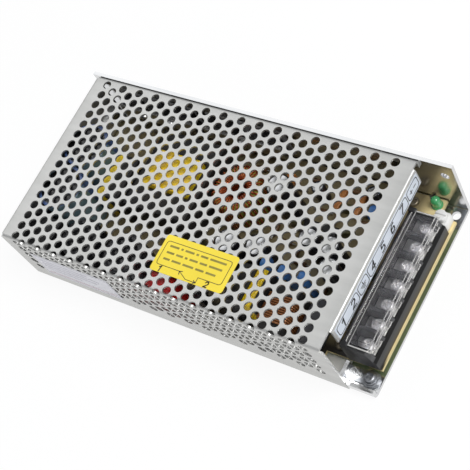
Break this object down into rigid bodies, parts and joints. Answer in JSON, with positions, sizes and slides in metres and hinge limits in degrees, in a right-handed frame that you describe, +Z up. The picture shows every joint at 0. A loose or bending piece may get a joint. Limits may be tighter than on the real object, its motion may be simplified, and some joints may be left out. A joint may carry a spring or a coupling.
{
  "type": "mesh case switching power supply",
  "caption": "Enclosed switching power supply with a folded chassis, a perforated cover, a barrier terminal strip under a clear flap, a trimmer and a status lamp.",
  "frame": {"origin": "centre of the underside of the chassis floor", "axes": "+X runs along the case towards the terminals, +Y across towards the full-height wall, +Z up from the floor"},
  "size_m": [0.2038, 0.0981, 0.0383],
  "materials": {
    "chassis": "polished",
    "cover": "satin",
    "cover_screws": "plated",
    "circuit_board": "satin",
    "insulation_sheet": "satin",
    "board_standoffs": "plain",
    "board_screws": "plated",
    "terminal_block": "moulded",
    "terminal_plates": "tinned",
    "terminal_washers": "tinned",
    "terminal_screws": "plated",
    "terminal_cover": "clear moulded plastic",
    "trimmer_body": "moulded",
    "trimmer_knob": "moulded",
    "power_led": "tinted clear",
    "earth_lug": "tinned",
    "earth_washers": "plated",
    "earth_screw": "plated",
    "selector_body": "moulded",
    "selector_slider": "moulded",
    "main_capacitors": "sleeve",
    "line_capacitors": "sleeve",
    "output_capacitors": "can",
    "small_capacitors": "sleeve",
    "rear_film_capacitor": "moulded",
    "line_film_capacitor": "moulded",
    "aux_transformer_coil": "tape",
    "aux_transformer_core": "ferrite",
    "main_transformer_coil": "tape",
    "main_transformer_core": "ferrite",
    "output_choke_core": "painted powder iron",
    "output_choke_winding": "enamelled copper",
    "driver_transformer_core": "ferrite",
    "driver_transformer_coil": "tape",
    "line_filter_core": "ferrite",
    "line_filter_coils": "enamelled copper",
    "disc_capacitors": "dipped",
    "inrush_thermistor": "dipped",
    "power_resistors": "coated",
    "control_chip": "moulded",
    "fuse_tube": "tube",
    "fuse_clips": "sprung",
    "insulating_pads": "pad",
    "switching_transistors": "moulded",
    "output_diodes": "moulded",
    "clamp_bars": "plated",
    "clamp_screws": "plated",
    "top_label": "printed film",
    "side_label": "printed film",
    "strip_label": "printed film"
  },
  "bodies": {
    "supply": {"chassis": "chassis", "cover": "cover", "cover_screws": "cover_screws", "circuit_board": "circuit_board", "insulation_sheet": "insulation_sheet", "board_standoffs": "board_standoffs", "board_screws": "board_screws", "terminal_block": "terminal_block", "terminal_plates": "terminal_plates", "terminal_washers": "terminal_washers", "terminal_screws": "terminal_screws", "trimmer_body": "trimmer_body", "power_led": "power_led", "earth_lug": "earth_lug", "earth_washers": "earth_washers", "earth_screw": "earth_screw", "selector_body": "selector_body", "main_capacitors": "main_capacitors", "line_capacitors": "line_capacitors", "output_capacitors": "output_capacitors", "small_capacitors": "small_capacitors", "rear_film_capacitor": "rear_film_capacitor", "line_film_capacitor": "line_film_capacitor", "aux_transformer_coil": "aux_transformer_coil", "aux_transformer_core": "aux_transformer_core", "main_transformer_coil": "main_transformer_coil", "main_transformer_core": "main_transformer_core", "output_choke_core": "output_choke_core", "output_choke_winding": "output_choke_winding", "driver_transformer_core": "driver_transformer_core", "driver_transformer_coil": "driver_transformer_coil", "line_filter_core": "line_filter_core", "line_filter_coils": "line_filter_coils", "disc_capacitors": "disc_capacitors", "inrush_thermistor": "inrush_thermistor", "power_resistors": "power_resistors", "control_chip": "control_chip", "fuse_tube": "fuse_tube", "fuse_clips": "fuse_clips", "insulating_pads": "insulating_pads", "switching_transistors": "switching_transistors", "output_diodes": "output_diodes", "clamp_bars": "clamp_bars", "clamp_screws": "clamp_screws", "top_label": "top_label", "side_label": "side_label", "strip_label": "strip_label"},
    "flap": {"terminal_cover": "terminal_cover"},
    "knob": {"trimmer_knob": "trimmer_knob"},
    "slider": {"selector_slider": "selector_slider"}
  },
  "joints": [
    {"name": "flap_hinge", "type": "hinge", "parent": "supply", "child": "flap", "pos_m": [0.0864, -0.0034, 0.02195], "axis": [0, -1, 0], "range_deg": [0, 70]},
    {"name": "knob_turn", "type": "hinge", "parent": "supply", "child": "knob", "pos_m": [0.0955, 0.0354, 0.0123], "axis": [0, 0, 1], "range_deg": [-135, 135]},
    {"name": "selector_slide", "type": "slide", "parent": "supply", "child": "slider", "axis": [1, 0, 0], "range_m": [-0.0025, 0.0025]}
  ]
}
